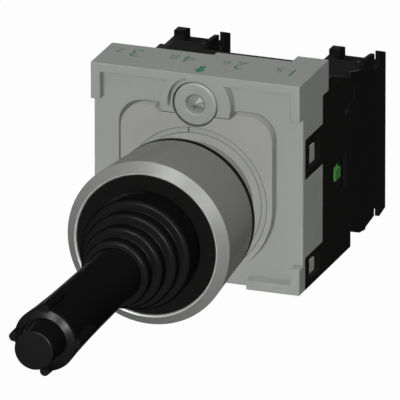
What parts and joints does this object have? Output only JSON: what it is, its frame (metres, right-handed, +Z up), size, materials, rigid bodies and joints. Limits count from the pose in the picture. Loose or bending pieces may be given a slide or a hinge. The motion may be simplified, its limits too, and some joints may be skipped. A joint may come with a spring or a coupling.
{
  "type": "industrial_joystick_switch",
  "caption": "Panel-mounted industrial joystick: ribbed black lever sleeve, stepped rubber bellows, metal front ring, grey clamp holder and contact modules behind",
  "frame": {"origin": "on the actuator axis, in the plane of the panel's front face (the seal's rear face)", "axes": "+Y along the actuator axis to the back of the panel, +X right seen by the operator, +Z up; the lever stands towards -Y"},
  "size_m": [0.04, 0.13, 0.04],
  "materials": {
    "ring_metal": "satin, clear anodised, turned",
    "steel": "bright, ground",
    "spring_steel": "drawn wire, bright",
    "rubber_black": "matte, moulded",
    "plastic_black": "fine grain, moulded",
    "holder_grey": "satin grey, moulded",
    "latch_grey": "satin warm grey, moulded",
    "green": "satin, moulded",
    "brass": "bare, stamped"
  },
  "bodies": {
    "root": {"front_ring": "ring_metal", "panel_seal": "rubber_black", "actuator_barrel": "plastic_black", "bellows_clamp_ring": "plastic_black", "bellows": "rubber_black", "guide_plate": "steel", "pivot_pin": "steel", "centring_spring": "spring_steel", "holder": "holder_grey", "latch_plate": "latch_grey", "latch_ring": "holder_grey", "module_carrier": "plastic_black", "module_left_housing": "plastic_black", "module_left_nose": "plastic_black", "module_left_spring": "spring_steel", "module_left_fixed_contacts": "brass", "module_left_terminal_clamps": "steel", "module_left_terminal_screws": "steel", "module_right_housing": "plastic_black", "module_right_nose": "plastic_black", "module_right_spring": "spring_steel", "module_right_fixed_contacts": "brass", "module_right_terminal_clamps": "steel", "module_right_terminal_screws": "steel"},
    "lever": {"lever_rod": "steel", "lever_foot": "plastic_black", "handle_tip": "plastic_black", "sleeve_spring": "spring_steel"},
    "sleeve": {"locking_sleeve": "plastic_black", "lock_collar": "steel"},
    "slide_left": {"transfer_slide_left": "green"},
    "slide_right": {"transfer_slide_right": "green"},
    "plunger_left": {"module_left_plunger": "green", "module_left_bridge": "brass"},
    "plunger_right": {"module_right_plunger": "green", "module_right_bridge": "brass"},
    "disc": {"pressure_disc": "steel"},
    "screw": {"clamp_screw": "steel"}
  },
  "joints": [
    {"name": "lever_tilt", "type": "hinge", "parent": "root", "child": "lever", "pos_m": [0, -0.008, 0], "axis": [0, 0, 1], "range_deg": [-12, 12], "stiffness_Nm_per_rad": 0.25, "deforming": ["bellows", "centring_spring"]},
    {"name": "sleeve_lift", "type": "slide", "parent": "lever", "child": "sleeve", "axis": [0, -1, 0], "range_m": [0, 0.004], "stiffness_N_per_m": 400, "springref_m": -0.003, "deforming": ["sleeve_spring"]},
    {"name": "slide_left_travel", "type": "slide", "parent": "root", "child": "slide_left", "axis": [0, 1, 0], "range_m": [-0.00147, 0.00147], "stiffness_N_per_m": 50},
    {"name": "plunger_left_travel", "type": "slide", "parent": "root", "child": "plunger_left", "axis": [0, 1, 0], "range_m": [-0.00147, 0.00147], "stiffness_N_per_m": 50, "deforming": ["module_left_spring"]},
    {"name": "slide_right_travel", "type": "slide", "parent": "root", "child": "slide_right", "axis": [0, 1, 0], "range_m": [-0.00147, 0.00147], "stiffness_N_per_m": 50},
    {"name": "plunger_right_travel", "type": "slide", "parent": "root", "child": "plunger_right", "axis": [0, 1, 0], "range_m": [-0.00147, 0.00147], "stiffness_N_per_m": 50, "deforming": ["module_right_spring"]},
    {"name": "disc_travel", "type": "slide", "parent": "root", "child": "disc", "axis": [0, -1, 0], "range_m": [0, 0.0049]},
    {"name": "screw_turn", "type": "hinge", "parent": "disc", "child": "screw", "pos_m": [0, 0.012, 0.0181], "axis": [0, -1, 0], "range_deg": [0, 2520]}
  ],
  "couplings": [
    {"joint": "slide_left_travel", "follows": "lever_tilt", "m_per_rad": -0.007},
    {"joint": "plunger_left_travel", "follows": "lever_tilt", "m_per_rad": -0.007},
    {"joint": "slide_right_travel", "follows": "lever_tilt", "m_per_rad": 0.007},
    {"joint": "plunger_right_travel", "follows": "lever_tilt", "m_per_rad": 0.007},
    {"joint": "screw_turn", "follows": "disc_travel", "rad_per_m": 8975}
  ]
}
